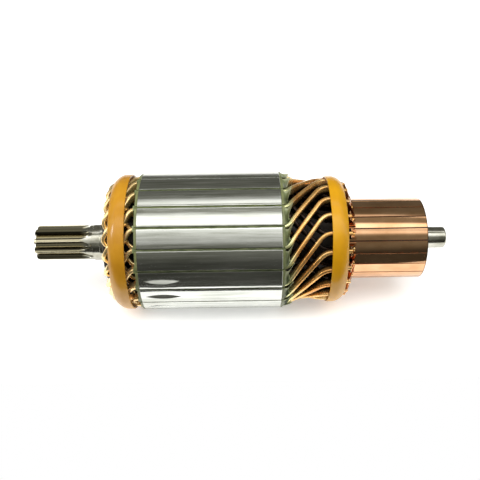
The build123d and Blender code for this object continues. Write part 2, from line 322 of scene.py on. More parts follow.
def steel_material():
    """Ground steel, olive on the pinion, with painted shade on the flanks of its teeth."""
    s = Shader("shaft_steel_ground", Metallic=1.0)
    grain = s.noise((6000, 250, 250), 3.0)
    stain = s.noise((90, 160, 160), 5.0)
    base = s.ramp(stain, [(0.35, (0.33, 0.32, 0.26)), (0.6, (0.56, 0.55, 0.49)), (0.8, (0.44, 0.41, 0.32))])
    far = s.radius()
    # Painted shade: on the pinion, the flanks of the tooth gaps, 6.6 to 9.3 mm from the axis, turn near
    # black.
    painted_flank_shade = s.math("MULTIPLY", s.span(far, 0.0066, 0.0072, 0.0, 0.9), s.span(far, 0.0088, 0.0093, 1.0, 0.0))
    painted_flank_shade = s.math("MULTIPLY", painted_flank_shade, s.span(s.along(), -0.0725, -0.0700, 1.0, 0.0))
    olive = s.mix(s.span(s.along(), -0.0725, -0.0695, 0.0, 1.0), (0.52, 0.47, 0.33), base)
    s.colour(s.mix(painted_flank_shade, olive, (0.02, 0.018, 0.01)))
    s.roughness(s.span(stain, 0.3, 0.7, 0.12, 0.22))
    s.bump(grain, 0.1, 0.0001)
    return s.material


def core_material():
    s = Shader("core_steel_turned", Metallic=1.0)
    sheets = s.noise((2400, 60, 60), 2.0)
    film = s.noise((22, 90, 90))
    rubbed = s.noise((34, 700, 700), 5.0)
    base = s.ramp(film, [(0.35, (0.56, 0.57, 0.53)), (0.65, (0.72, 0.73, 0.70))])
    worn = s.ramp(rubbed, [(0.32, (0.74, 0.75, 0.72)), (0.6, (1.0, 1.0, 1.0))])
    s.colour(s.mix(1.0, base, worn, "MULTIPLY"))
    s.roughness(s.span(rubbed, 0.3, 0.7, 0.11, 0.22))
    s.bump(s.math("ADD", sheets, rubbed), 0.07, 0.00005)
    return s.material


def fibre_material(name, dark, light, cut=None):
    """Green fibre. With a cut colour, the cuffs' attribute turns it pale above 0.5, for pale cut edges and
    a painted highlight, and dark below 0.5 as painted shade.
    """
    s = Shader(name, Roughness=0.5, Coat_Weight=0.25, Coat_Roughness=0.25)
    cloth = s.noise((900, 900, 900), 6.0)
    patch = s.noise((160, 160, 160), 3.0)
    tone = s.ramp(patch, [(0.3, dark), (0.7, light)])
    if cut:
        # The attribute holds pale cut edges with a painted highlight above 0.5, and painted shade below.
        edge = s.node("ShaderNodeAttribute")
        edge.attribute_name = "cut_edge_and_painted_light"
        tone = s.mix(s.span(edge.outputs["Fac"], 0.5, 1.0, 0.0, 1.0), tone, cut)
        tone = s.mix(s.span(edge.outputs["Fac"], 0.5, 0.0, 0.0, 1.0), tone, (0.022, 0.032, 0.010))
    s.colour(tone)
    s.bump(cloth, 0.25, 0.0001)
    return s.material


def bar_material():
    """Varnished copper, pale at the drive end by a painted highlight, greenish at the cuffs, and dark in
    the depth by painted shade.
    """
    s = Shader("bar_copper_varnished", Metallic=0.85, Coat_Weight=0.2, Coat_Roughness=0.06)
    varnish = s.noise((70, 70, 70), 5.0)
    fine = s.noise((700, 700, 700))
    copper = s.ramp(varnish, [
        (0.3, (0.60, 0.25, 0.06)),
        (0.48, (0.88, 0.48, 0.15)),
        (0.7, (1.0, 0.72, 0.32)),
    ])
    place = s.along()
    # Painted shade: copper nearer the axis than about 30 to 32 mm turns near black, 2.2 mm deeper at the
    # drive end, but not past 70 mm towards the commutator or past 51.5 mm at the drive end.
    reach = s.math("ADD", s.radius(), s.span(place, -0.036, -0.040, 0.0, 0.0022))
    depth = s.span(reach, 0.0303, 0.0322, 0.0, 1.0)
    depth = s.math("MAXIMUM", depth, s.span(place, 0.068, 0.070, 0.0, 1.0))
    depth = s.math("MAXIMUM", depth, s.span(place, -0.0495, -0.0515, 0.0, 1.0))
    # Painted highlight: the copper turns pale cream towards the drive end.
    pale_and_highlight = s.mix(s.span(place, -0.037, -0.039, 0.0, 1.0), copper, (1.0, 0.72, 0.34))
    paper = s.math("MULTIPLY", s.span(place, 0.0445, 0.0405, 0.0, 1.0), s.span(place, 0.0, 0.001, 0.0, 1.0))
    pale_and_highlight = s.mix(paper, pale_and_highlight, (0.80, 0.80, 0.42))
    s.colour(s.mix(depth, (0.018, 0.008, 0.004), pale_and_highlight))
    s.roughness(s.span(fine, 0.3, 0.7, 0.2, 0.34))
    s.bump(varnish, 0.2, 0.0004)
    return s.material


def segment_material():
    """Turned copper with a dark rim at the end of the commutator."""
    s = Shader("segment_copper_turned", Metallic=1.0)
    turned = s.noise((5200, 60, 60), 2.0)
    streak = s.noise((30, 900, 900))
    film = s.noise((60, 130, 130))
    base = s.ramp(film, [(0.35, (0.60, 0.33, 0.17)), (0.6, (0.74, 0.44, 0.25)), (0.8, (0.82, 0.52, 0.31))])
    s.colour(s.mix(s.span(s.along(), 0.1134, 0.1139, 0.0, 0.85), base, (0.12, 0.045, 0.02)))
    s.roughness(s.span(streak, 0.3, 0.7, 0.035, 0.09))
    s.bump(turned, 0.08, 0.00006)
    return s.material


def resin_material(name, low, middle, high):
    s = Shader(name, Roughness=0.42, Coat_Weight=0.4, Coat_Roughness=0.08, Specular_IOR_Level=0.25,
               Subsurface_Weight=0.06, Subsurface_Radius=(0.003, 0.0018, 0.0006), Subsurface_Scale=1.0)
    cloud = s.noise((60, 60, 60))
    grain = s.noise((420, 420, 420), 5.0)
    s.colour(s.ramp(cloud, [(0.25, low), (0.5, middle), (0.75, high)]))
    s.bump(s.math("ADD", cloud, s.math("MULTIPLY", grain, 0.12)), 0.25, 0.0006)
    return s.material


def dark_material(name, dark, light, rough):
    s = Shader(name, Roughness=rough)
    cloud = s.noise((140, 140, 140))
    grain = s.noise((900, 900, 900))
    s.colour(s.ramp(cloud, [(0.3, dark), (0.7, light)]))
    s.bump(grain, 0.2, 0.0001)
    return s.material


STEEL = steel_material()
CORE = core_material()
FIBRE = fibre_material("green_fibre_sheet", (0.092, 0.106, 0.038), (0.185, 0.20, 0.082))
PAPER = fibre_material("liner_paper_varnished", (0.09, 0.115, 0.04), (0.22, 0.25, 0.11))
# Cuffs: pale cut edges with a painted highlight, and painted shade, from the attribute of make_cuffs.
CUFF = fibre_material("liner_paper_cuffs", (0.09, 0.115, 0.04), (0.22, 0.25, 0.11), (0.55, 0.56, 0.36))
BAR = bar_material()
SEGMENT = segment_material()
MICA = dark_material("mica_sheet", (0.035, 0.022, 0.014), (0.09, 0.06, 0.04), 0.6)
MOULDING = dark_material("moulding_phenolic", (0.012, 0.008, 0.006), (0.04, 0.028, 0.02), 0.45)
AMBER = resin_material(
    "drive_band_resin_tape", (0.39, 0.168, 0.006), (0.47, 0.217, 0.010), (0.56, 0.275, 0.022))
YELLOW = resin_material(
    "commutator_band_resin_tape", (0.47, 0.22, 0.002), (0.56, 0.268, 0.0025), (0.63, 0.318, 0.004))


# Shaft with its pinion. The hob leaves each tooth gap in an arc, the run-out.
TEETH = 9
MODULE = 1.75
PRESSURE_ANGLE = radians(20)
TIP_R = 9.65
ROOT_R = 5.75
TOOTH_TURN = 6.0
SHAFT_START = -97.3
SHAFT_END = 129.2
END_ROUNDING = 1.6
END_FLATNESS = 0.85
TOOTH_END = -72.7
RUNOUT = 7.3
JOURNAL_R = 10.0
COMMUTATOR_SEAT_R = 10.2
END_JOURNAL_R = 6.0
GROOVE_R = 8.8
RING_R = 10.8
RING_START = -61.2
RING_END = -58.7
RING_OPENING = 3.0
CORE_SEAT_END = 40.0
COMMUTATOR_SEAT_END = 115.6
CENTRE_R = 2.4
CENTRE_FLOOR_R = 0.8
CENTRE_DEPTH = 2.8
AXIS_R = 0.0001


def gap_half_width(r):
    """Half the width of a tooth gap at radius r, between involute flanks."""
    pitch_r = TEETH * MODULE / 2
    base_r = pitch_r * cos(PRESSURE_ANGLE)
    roll = tan(PRESSURE_ANGLE) - PRESSURE_ANGLE
    opened = acos(min(1.0, base_r / r))
    flank = tan(opened) - opened
    width = r * sin(pi / (2 * TEETH) + flank - roll)
    if r < base_r:
        width *= 0.75 + 0.25 * (r - ROOT_R) / (base_r - ROOT_R)
    return width


def tooth_section(x):
    """Outline of the pinion at x as (radius, angle) points, one tooth gap after another."""
    blank = TIP_R
    if x < SHAFT_START + END_ROUNDING:
        inward = SHAFT_START + END_ROUNDING - x
        blank -= END_FLATNESS * (END_ROUNDING - sqrt(max(0.0, END_ROUNDING**2 - inward**2)))
    depth = TIP_R - ROOT_R
    hob_r = (RUNOUT**2 + depth**2) / (2 * depth)
    rise = 0.0
    if x > TOOTH_END:
        rise = min(hob_r - sqrt(hob_r**2 - (x - TOOTH_END) ** 2), depth)
    section = []
    for index in range(TEETH):
        middle = BOTTOM + TOOTH_TURN + index * 360 / TEETH
        flank = []
        for step in range(15):
            r = min(ROOT_R + rise + step / 14 * max(blank - ROOT_R - rise, 0.0), blank)
            width = gap_half_width(max(r - rise, ROOT_R))
            flank.append((r, degrees(asin(min(1.0, width / r)))))
        floor_r, floor_half = flank[0]
        edge = flank[-1][1]
        section += [(r, middle - half) for r, half in reversed(flank)]
        section += [(min(floor_r, blank), middle + share * floor_half) for share in (-0.6, -0.2, 0.2, 0.6)]
        section += [(r, middle + half) for r, half in flank]
        to_next = 360 / TEETH - 2 * edge
        section += [(blank, middle + edge + share * to_next) for share in (0.04, 0.2, 0.4, 0.6, 0.8, 0.96)]
    return section


def make_shaft():
    rounding_end = SHAFT_START + END_ROUNDING
    stations = [SHAFT_START + END_ROUNDING * s / 8 for s in range(9)]
    stations += [rounding_end + (TOOTH_END - rounding_end) * s / 6 for s in range(1, 6)]
    stations += [TOOTH_END - 0.35, TOOTH_END - 0.25, TOOTH_END]
    stations += [TOOTH_END + RUNOUT * s / 16 for s in range(1, 17)]
    pinion = [[polar(x, r, a) for r, a in tooth_section(x)] for x in stations]
    end = TOOTH_END + RUNOUT
    angles = [a for _, a in tooth_section(end)]
    drilled = SHAFT_START + CENTRE_DEPTH
    start_face = [(drilled, AXIS_R), (drilled, CENTRE_FLOOR_R), (SHAFT_START, CENTRE_R)]
    profile = [
        (end + 0.05, JOURNAL_R - 0.05), (end + 0.1, JOURNAL_R), (RING_START - 0.15, JOURNAL_R),
        (RING_START, JOURNAL_R - 0.15), (RING_START, GROOVE_R), (RING_END, GROOVE_R),
        (RING_END, SHAFT_R), (CORE_SEAT_END, SHAFT_R), (CORE_SEAT_END, COMMUTATOR_SEAT_R),
        (COMMUTATOR_SEAT_END - 0.3, COMMUTATOR_SEAT_R), (COMMUTATOR_SEAT_END, COMMUTATOR_SEAT_R - 0.3),
        (COMMUTATOR_SEAT_END, END_JOURNAL_R + 0.2), (COMMUTATOR_SEAT_END + 0.2, END_JOURNAL_R),
        (SHAFT_END - 1.1, END_JOURNAL_R), (SHAFT_END - 0.7, END_JOURNAL_R - 0.15),
        (SHAFT_END - 0.3, END_JOURNAL_R - 0.5), (SHAFT_END, END_JOURNAL_R - 1.0), (SHAFT_END, CENTRE_R),
        (SHAFT_END - CENTRE_DEPTH, CENTRE_FLOOR_R), (SHAFT_END - CENTRE_DEPTH, AXIS_R),
    ]
    first = [[polar(x, r, a) for a in angles] for x, r in start_face]
    turned = [[polar(x, r, a) for a in angles] for x, r in profile]
    piece = new_object("armature_shaft", skin("armature_shaft", first + pinion + turned, 28, True))
    show(piece, "shaft_steel", STEEL, "shaft")


def make_thrust_ring():
    """Ring in its groove, open at the far side."""
    section = rounded([
        (RING_START, GROOVE_R), (RING_START, RING_R), (RING_END, RING_R), (RING_END, GROOVE_R),
    ], 0.25, 3)
    steps = 100
    gap = degrees(asin(RING_OPENING / 2 / RING_R))
    rows = []
    for k in range(steps + 1):
        angle = BOTTOM + 90 + gap + (360 - 2 * gap) * k / steps
        rows.append([polar(x, r, angle) for x, r in section])
    piece = new_object("thrust_washer", skin("thrust_washer", rows, capped=True))
    show(piece, "shaft_steel", STEEL, "thrust_ring")


# Core and its end sheets.
TOOTH_POINTS = 13
HALF_SLOT_POINTS = 6
SHEET_INSET = 0.25

BALANCE_X = 11.7 - CORE_HALF
BALANCE_LENGTH = 18.5
BALANCE_DEPTH = 1.6
BALANCE_TEETH = (15, 16, 17)
BALANCE_SLOPE = radians(50)
# A balance cut from one edge to the other: place across, and share of its depth.
CUT_SHAPE = [
    (-1.0, 0), (-0.84, 0.28), (-0.6, 0.55), (-0.3, 0.76), (0.0, 0.86), (0.12, 0.84), (0.4, 0.58),
    (0.7, 0.29), (1.0, 0),
]


def half_slot(outer_r, edge, wave, seed, x):
    """Half the outline of a slot from its floor out, as (radius, angle from its middle)."""
    mouth = MOUTH / 2 + wave * noise.noise(Vector((x * 0.35, seed, 0.0)))
    corners = [
        (SLOT_FLOOR, SLOT_WIDTH / 2),
        (SLOT_TOP, SLOT_WIDTH / 2),
        (SLOT_TOP, mouth),
        (outer_r - edge, mouth),
        (outer_r - edge * 0.3, mouth + edge * 0.3),
        (outer_r, mouth + edge),
    ]
    return [(r, degrees(asin(half / r))) for r, half in corners]


def core_ring(x, outer_r, edge, wave):
    """Outline of the core at x as (radius, angle) points, one slot and tooth after another."""
    ring = []
    for index in range(SLOTS):
        middle = BOTTOM + index * PITCH
        right = half_slot(outer_r, edge, wave, index * 3.7, x)
        left = half_slot(outer_r, edge, wave, index * 3.7 + 1.9, x)
        after = half_slot(outer_r, edge, wave, ((index + 1) % SLOTS) * 3.7 + 1.9, x)
        ring += [(r, middle - a) for r, a in reversed(left)]
        ring += [(r, middle + a) for r, a in right]
        start = right[-1][1]
        step = (PITCH - start - after[-1][1]) / (TOOTH_POINTS + 1)
        ring += [(outer_r, middle + start + step * s) for s in range(1, TOOTH_POINTS + 1)]
    return ring


def bore_rows(xs, ring):
    """Rows on the bore, each point at the angle of its fellow on the ring."""
    return [[polar(x, SHAFT_R, degrees(atan2(p.z, p.y))) for p in ring] for x in xs]


def balance_cut(x):
    """Half the width and the depth of a balance cut at x."""
    wheel_r = (BALANCE_LENGTH**2 / 4 + BALANCE_DEPTH**2) / (2 * BALANCE_DEPTH)
    d = x - BALANCE_X
    if abs(d) >= BALANCE_LENGTH / 2:
        return 0.0, 0.0
    deep = sqrt(wheel_r**2 - d**2) - (wheel_r - BALANCE_DEPTH)
    return deep * tan(BALANCE_SLOPE), deep


def core_stations():
    first = BALANCE_X - BALANCE_LENGTH / 2
    last = BALANCE_X + BALANCE_LENGTH / 2
    cut = [first + BALANCE_LENGTH * s / 48 for s in range(49)]
    end = CORE_HALF - CORE_EDGE
    rest = [last + 1.5 + (end - last - 1.5) * s / 40 for s in range(1, 40)]
    return [-CORE_HALF, -end, first - 1.5, first - 0.4, *cut, last + 0.4, last + 1.5, *rest, end, CORE_HALF]


def make_core():
    rows = []
    for x in core_stations():
        surface_r = CORE_R - CORE_EDGE if abs(abs(x) - CORE_HALF) < 1e-6 else CORE_R
        ring = core_ring(x, surface_r, CORE_EDGE, 0.14)
        half, deep = balance_cut(x)
        wide = degrees(max(half, 0.004) / CORE_R)
        for tooth in BALANCE_TEETH:
            base = tooth * (TOOTH_POINTS + 2 * HALF_SLOT_POINTS) + 2 * HALF_SLOT_POINTS
            middle = BOTTOM + (tooth + 0.5) * PITCH
            lower = ring[base - 1][1]
            upper = ring[base + TOOTH_POINTS][1]
            before = [lower + (middle - wide - lower) * s / 4 for s in (1, 2)]
            after = [middle + wide + (upper - middle - wide) * s / 4 for s in (2, 3)]
            across = [(surface_r - d * deep, middle + wide * s) for s, d in CUT_SHAPE]
            tooth_ring = [(surface_r, a) for a in before] + across + [(surface_r, a) for a in after]
            ring[base:base + TOOTH_POINTS] = tooth_ring
        rows.append([polar(x, r, a) for r, a in ring])
    rows += bore_rows((CORE_HALF, -CORE_HALF), rows[0]) + [rows[0]]
    piece = new_object("lamination_pack", skin("lamination_pack", rows, 25))
    show(piece, "core_steel", CORE, "lamination_stack")


def make_end_sheet(name, node, x0, x1):
    rows = []
    outer = CORE_R - SHEET_INSET
    for x, shrink in ((x0, 0.15), (x0 + 0.15, 0.0), (x1 - 0.15, 0.0), (x1, 0.15)):
        rows.append([polar(x, r, a) for r, a in core_ring(x, outer - shrink, 0.1, 0.08)])
    rows += bore_rows((x1, x0), rows[0]) + [rows[0]]
    piece = new_object(name, skin(name, rows, 30))
    show(piece, "green_fibre", FIBRE, node)


# Slot liners and their cuffs.
PAPER_T = 0.34
PAPER_PLAY = 0.01
PAPER_PROUD = 0.9
FOLD_DEPTH = 0.55
# Section of the fold in a slot's mouth: place across, and depth below its top.
FOLD = ((-0.42, 0.75), (-0.30, 0.12), (-0.05, 0.0), (0.20, 0.15), (0.42, 0.75))

# A cuff is held by the end of the pack, and turns with the bars past LEG_START, by
# CUFF_LEAN degrees for each millimetre.
CUFF_T = 0.35
CUFF_DEPTH = 0.7
CUFF_HELD = 0.15
CUFF_REACH = 3.7
CUFF_LEAN = -2.41
# Room for a bar between two cuffs: half of it at the pack, what it gains, and from where.
CUFF_ROOM = 2.1
CUFF_ROOM_GAIN = 1.2
CUFF_ROOM_START = 38.6


def make_liners():
    """Paper round the bars in each slot, and its ragged fold in the slot's mouth."""
    points, faces = [], []

    def sheet(rows):
        faces.extend(wrap(len(rows), len(rows[0]), len(points)))
        for row in rows:
            points.extend(row)

    def box(x, inset):
        low, high, half = SLOT_FLOOR + inset, SLOT_TOP - inset, SLOT_WIDTH / 2 - inset
        corners = [(low, -half), (low, half), (high, half), (high, -half)]
        return [Vector((x * MM, 0, 0)) + (out * r + side * across) * MM for r, across in corners]

    for index in range(SLOTS):
        out, side = axes(BOTTOM + index * PITCH)
        start = -PACK_HALF - PAPER_PROUD
        rows = [box(x, PAPER_PLAY) for x in (start, PACK_HALF)]
        rows += [box(x, PAPER_PLAY + PAPER_T) for x in (PACK_HALF, start)]
        sheet([*rows, rows[0]])
        fold = []
        steps = 60
        for k in range(steps + 1):
            x = -PACK_HALF + 2 * PACK_HALF * k / steps
            shift = 0.11 * noise.noise(Vector((x * 0.5, index * 5.1, 2.0)))
            lift = 0.25 * noise.noise(Vector((x * 0.9, index * 2.3, 7.0)))
            top = CORE_R - FOLD_DEPTH + lift
            fold.append([
                Vector((x * MM, 0, 0)) + (out * (top - down) + side * (across + shift)) * MM
                for across, down in FOLD
            ])
        sheet(fold)
    piece = new_object("slot_papers", mesh_from("slot_papers", points, faces, 40))
    show(piece, "liner_paper", PAPER, "slot_liners")


def make_cuffs():
    """Paper pockets between neighbouring bars at the commutator end, drawn out along the bars."""
    points, faces, edge_and_painted_light = [], [], []
    wide, long = 14, 9
    w = wide + 1
    for index in range(SLOTS):
        slot = BOTTOM + index * PITCH
        outer, inner = [], []
        for v in range(long + 1):
            t = v / long
            for u in range(w):
                s = 2 * u / wide - 1
                sunk = 1 - s * s
                reach = CUFF_REACH - 0.95 * s - 1.1 * sunk
                reach += 0.45 * noise.noise(Vector((index * 3.3, s * 1.7, 4.0)))
                x = PACK_HALF - CUFF_HELD + (reach + CUFF_HELD) * t
                lean = CUFF_LEAN * max(0.0, x - LEG_START)
                half = CUFF_ROOM + CUFF_ROOM_GAIN * min(1.0, max(0.0, x - CUFF_ROOM_START) / 2.0)
                angle = slot + lean + half + (s + 1) / 2 * (PITCH - 2 * half)
                r = CORE_R - CUFF_DEPTH - 1.3 * t**1.3 - 2.3 * t * sunk + 0.6 * t * t * (1 - s) / 2
                r += 0.3 * t * noise.noise(Vector((index * 1.7, s * 1.5, t * 2)))
                outer.append(polar(x, r, angle))
                inner.append(polar(x, r - CUFF_T, angle))
        base = len(points)
        total = len(outer)
        points += outer + inner
        for k in range(total):
            row, column = divmod(k, w)
            out = row / long
            # Pale at the free cut edge, with a painted highlight down the upper side of each pocket and
            # painted shade towards the bar below it; 0.5 is plain paper.
            pale_and_highlight = max(out**8 * 0.8, max(0.0, 1 - column / 2.5) * out**0.5)
            shade = min(1.0, 1.6 * out) * max(0.0, min(1.0, (column / wide - 0.2) / 0.4))
            edge_and_painted_light.append(max(0.0, 0.5 + 0.5 * pale_and_highlight - 0.5 * shade * (1 - pale_and_highlight)))
        edge_and_painted_light += edge_and_painted_light[-total:]
        for v in range(long):
            for u in range(wide):
                a = base + v * w + u
                b = a + total
                faces.append((a, a + 1, a + w + 1, a + w))
                faces.append((b, b + w, b + w + 1, b + 1))
        rim = [v * w for v in range(long + 1)] + [long * w + u for u in range(1, w)]
        rim += [v * w + wide for v in range(long - 1, -1, -1)] + list(range(wide - 1, 0, -1))
        for k, a in enumerate(rim):
            b = rim[(k + 1) % len(rim)]
            faces.append((base + a, base + b, base + b + total, base + a + total))
    mesh = bpy.data.meshes.new("slot_cuffs")
    mesh.from_pydata([tuple(p) for p in points], [], faces)
    # Pale cut edges, painted highlight and painted shade, read by the cuffs' material.
    edge = mesh.attributes.new("cut_edge_and_painted_light", "FLOAT", "POINT")
    edge.data.foreach_set("value", edge_and_painted_light)
    work = bmesh.new()
    work.from_mesh(mesh)
    bmesh.ops.recalc_face_normals(work, faces=work.faces)
    work.to_mesh(mesh)
    work.free()
    mesh.shade_smooth()
    mesh.set_sharp_from_angle(angle=radians(50))
    piece = new_object("slot_cuffs", mesh)
    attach(piece, "root")
    piece.data.materials.append(CUFF)


# Hairpin winding. Stations of a bar are (x, radius, angle).
COM_R = 22.2
COM_START = 76.3
COM_END = 114.3
RISER_START = 71.9
RISER_EDGE = 0.5

BAR_W = 2.2
BAR_H = 4.7
BAR_TOP = 36.4
BAR_CORNER = 0.8
BAR_SLACK = 0.985
LAYER_GAP = 0.7
LAYER_STEP = BAR_H + LAYER_GAP
UPPER_R = BAR_TOP - BAR_H / 2
LOWER_R = UPPER_R - LAYER_STEP
TWIST = 2.5 * PITCH
SPAN = 5 * PITCH
LEAD = -3.1
RISER_TOP = COM_R + 2 * BAR_H

LEG_START = 39.4
SEAT_START = 58.5
SEAT_END = 66.4
SEAT_TOP = 33.9
UPPER_DROP_END = 70.7
LOWER_DROP_END = 69.5
WAIST_TOP = 33.0
BEND_START = -40.3
BEND_WAIST_TOP = 33.8
NOSE_START = -52.8
NOSE_END = -56.2
NOSE_WIDTH = 8.2
NOSE_TOP = 33.3
NOSE_LOW_TOP = 27.8
LOWER_SAG = 0.3

# How far from each corner of a bar its bend begins, from the slot to the riser.
SLOT_REACH = 3.2
LEG_REACHES = [SLOT_REACH, 4.5, 4.5, 4.5, 2, 2, 0]


def sagging(start, end, waist):
    """Two stations between start and end, on a line that sags to the waist's radius."""
    sag = (start[1] + end[1]) / 2 - waist
    out = []
    for t in (1 / 3, 2 / 3):
        x, r, a = (p + t * (q - p) for p, q in zip(start, end))
        out.append((x, r - 4 * t * (1 - t) * sag, a))
    return out


def leg(angle, lead, slot_r, waist, seat, riser, drop):
    """Stations of a leg from its slot over the band's seat into its riser."""
    start = (LEG_START, slot_r, angle)
    seated = (SEAT_START, seat, angle + lead)
    slope = (COM_START - RISER_START - RISER_EDGE) / (RISER_TOP - COM_R)
    end = RISER_START + RISER_EDGE + (RISER_TOP - riser) * slope
    return [
        start, *sagging(start, seated, waist), seated, (SEAT_END, seat, angle + lead),
        (drop, riser, angle + lead), (end - 0.6, riser, angle + lead),
    ]


def coil_path():
    half = BAR_H / 2
    below = half + LAYER_STEP
    far = BOTTOM + SPAN
    upper = leg(
        BOTTOM, LEAD - TWIST, UPPER_R, WAIST_TOP - half, SEAT_TOP - half,
        RISER_TOP - half, UPPER_DROP_END)
    lower = leg(
        far, LEAD + TWIST, LOWER_R, WAIST_TOP - below - LOWER_SAG, SEAT_TOP - below,
        RISER_TOP - 3 * half, LOWER_DROP_END)
    middle = BOTTOM + TWIST
    turn = degrees(NOSE_WIDTH / 2 / NOSE_TOP)
    a = (BEND_START, UPPER_R, BOTTOM)
    b = (NOSE_START, NOSE_TOP - half, middle - turn)
    c = (NOSE_START, NOSE_LOW_TOP - half, middle + turn)
    d = (BEND_START, LOWER_R, far)
    bend = [
        a, *sagging(a, b, BEND_WAIST_TOP - half), b,
        (NOSE_END + BAR_W / 2, (NOSE_TOP + NOSE_LOW_TOP) / 2 - half, middle),
        c, *sagging(c, d, BEND_WAIST_TOP - below - LOWER_SAG), d,
    ]
    return upper[::-1] + bend + lower


def smooth_path(stations, reaches, steps=6):
    """Stations with each corner turned into a short curve that stays inside it."""
    out = []
    count = len(stations)
    for index, c in enumerate(stations):
        if index in (0, count - 1):
            out.append(c)
            continue
        p, n = stations[index - 1], stations[index + 1]
        pc = polar(*c) - polar(*p)
        cn = polar(*n) - polar(*c)
        before = min(0.5, reaches[index] * MM / pc.length)
        after = min(0.5, reaches[index] * MM / cn.length)
        q0 = [a + (b - a) * (1 - before) for a, b in zip(p, c)]
        q2 = [a + (b - a) * after for a, b in zip(c, n)]
        for step in range(steps + 1):
            t = step / steps
            triples = zip(q0, c, q2)
            out.append(tuple((1 - t) ** 2 * x + 2 * t * (1 - t) * y + t * t * z for x, y, z in triples))
    return out


def bar_mesh(name, stations):
    w, h = BAR_W / 2, BAR_H / 2
    section = rounded([(-w, -h), (w, -h), (w, h), (-w, h)], BAR_CORNER, 5)
    centres = [polar(*s) for s in stations]
    rows = []
    for index, (centre, (_, _, angle)) in enumerate(zip(centres, stations)):
        before = centres[max(index - 1, 0)]
        after = centres[min(index + 1, len(centres) - 1)]
        along = (after - before).normalized()
        across = along.cross(axes(angle)[0]).normalized()
        up = across.cross(along).normalized()
        rows.append([centre + (across * s + up * t) * MM * BAR_SLACK for s, t in section])
    return skin(name, rows, 40, True)


def make_coils():
    reaches = LEG_REACHES[::-1] + [SLOT_REACH] * 9 + LEG_REACHES
    mesh = bar_mesh("hairpin_bar", smooth_path(coil_path(), reaches))
    for index in range(SLOTS):
        turned = mesh.copy()
        turned.transform(Matrix.Rotation(radians(index * PITCH), 4, "X"))
        show(new_object(f"hairpin_{index + 1:02d}", turned), "bar_copper", BAR, f"coil_{index + 1:02d}")
    bpy.data.meshes.remove(mesh)


# Bands of resin bonded tape. At its bend the underside of a band starts to fall.
CROWN_STEPS = 12
BAND_FLAT = 3.2
YELLOW_START = 62.2
YELLOW_WIDTH = 8.6
YELLOW_BEND = 66.9
AMBER_START = -43.0
AMBER_WIDTH = 8.7
AMBER_BEND = -46.2
WAVINESS = 0.08


def crown(start, direction, width, outer_r, edge_r, inner):
    """Outline of a band: a flat part, then a crown that falls to its edge."""
    outline = [(start, outer_r)]
    drop = outer_r - edge_r
    for step in range(CROWN_STEPS + 1):
        t = step / CROWN_STEPS
        outline.append((start + direction * (BAND_FLAT + (width - BAND_FLAT) * t), outer_r - drop * t * t))
    return outline + inner


def uneven(seed):
    """A slight waviness for a band that was wound and brushed by hand."""
    def move(x, r, angle):
        a = radians(angle)
        n = noise.noise(Vector((x * 0.12, 2.2 * cos(a) + seed, 2.2 * sin(a))))
        m = noise.noise(Vector((x * 0.5, 9 * cos(a) + seed, 9 * sin(a))))
        return x + 0.10 * n + 0.05 * m, r + WAVINESS * n + 0.3 * WAVINESS * m - WAVINESS * 0.6

    return move


def make_bands():
    corner_r = hypot(SEAT_TOP, BAR_W / 2) + 0.12
    riser_r = hypot(RISER_TOP, BAR_W / 2) + 0.12
    outline = crown(YELLOW_START, 1, YELLOW_WIDTH, corner_r + 0.9, riser_r + 0.5, [
        (YELLOW_START + YELLOW_WIDTH, riser_r + 0.2), (YELLOW_BEND, corner_r + 0.15),
        (YELLOW_START, corner_r + 0.15),
    ])
    outline = rounded(outline, [0.3] + [0] * CROWN_STEPS + [0.35, 0.05, 0, 0.05], 4)
    mesh = lathe("commutator_end_tape", outline, 240, uneven(3.0))
    show(new_object("commutator_end_tape", mesh), "commutator_band_resin", YELLOW, "commutator_end_band")
    waist = BEND_WAIST_TOP + 0.24
    outer = CORE_R - 0.4
    outline = crown(AMBER_START, -1, AMBER_WIDTH, outer, waist + 0.6, [
        (AMBER_START - AMBER_WIDTH, waist + 0.1), (AMBER_BEND, waist + 0.7), (AMBER_START, outer - 0.8),
    ])
    outline = rounded(outline, [0.3] + [0] * CROWN_STEPS + [0.3, 0.05, 0, 0.05], 4)
    mesh = lathe("drive_end_tape", outline, 240, uneven(8.0))
    show(new_object("drive_end_tape", mesh), "drive_band_resin", AMBER, "drive_end_band")


# Commutator. The dovetail below each segment is what the moulding grips.
DOVETAIL = [
    (COM_END, COM_R - 2.4), (COM_END - 3, COM_R - 4.2), (COM_END - 1.5, COM_R - 6.6),
    (RISER_START + 1.5, COM_R - 6.6), (RISER_START + 3, COM_R - 4.2), (RISER_START, COM_R - 2.4),
]
MICA_HALF = 0.26
HUB_START = 71.0
HUB_END = 113.3
HUB_BORE_R = 12.4
CONE_R = 22.4
CONE_SHOULDER = -56.9
CONE_END_R = 14.0


def segment_body(middle):
    """The copper between two mica sheets, with worn edges."""
    side = [
        (RISER_START, COM_R - 0.6), (RISER_START + 0.05, COM_R), (COM_START, COM_R), (COM_END - 0.7, COM_R),
        (COM_END - 0.25, COM_R - 0.15), (COM_END, COM_R - 0.7), *DOVETAIL,
    ]
    columns = [(-1.0, 0.0, -0.16), (-1.0, 0.05, -0.05)]
    columns += [(share, 0.0, 0.0) for share in (-0.97, -0.6, -0.3, 0.0, 0.3, 0.6, 0.97)]
    columns += [(1.0, 0.05, -0.05), (1.0, 0.0, -0.16)]
    rows = []
    for share, inset, drop in columns:
        row = []
        for x, r in side:
            half = degrees(asin((r * sin(radians(PITCH / 2)) - MICA_HALF - inset) / r))
            row.append(polar(x, r + (drop if r > COM_R - 1 else 0), middle + share * half))
        rows.append(row)
    return skin("segment_body", rows, 30, True)


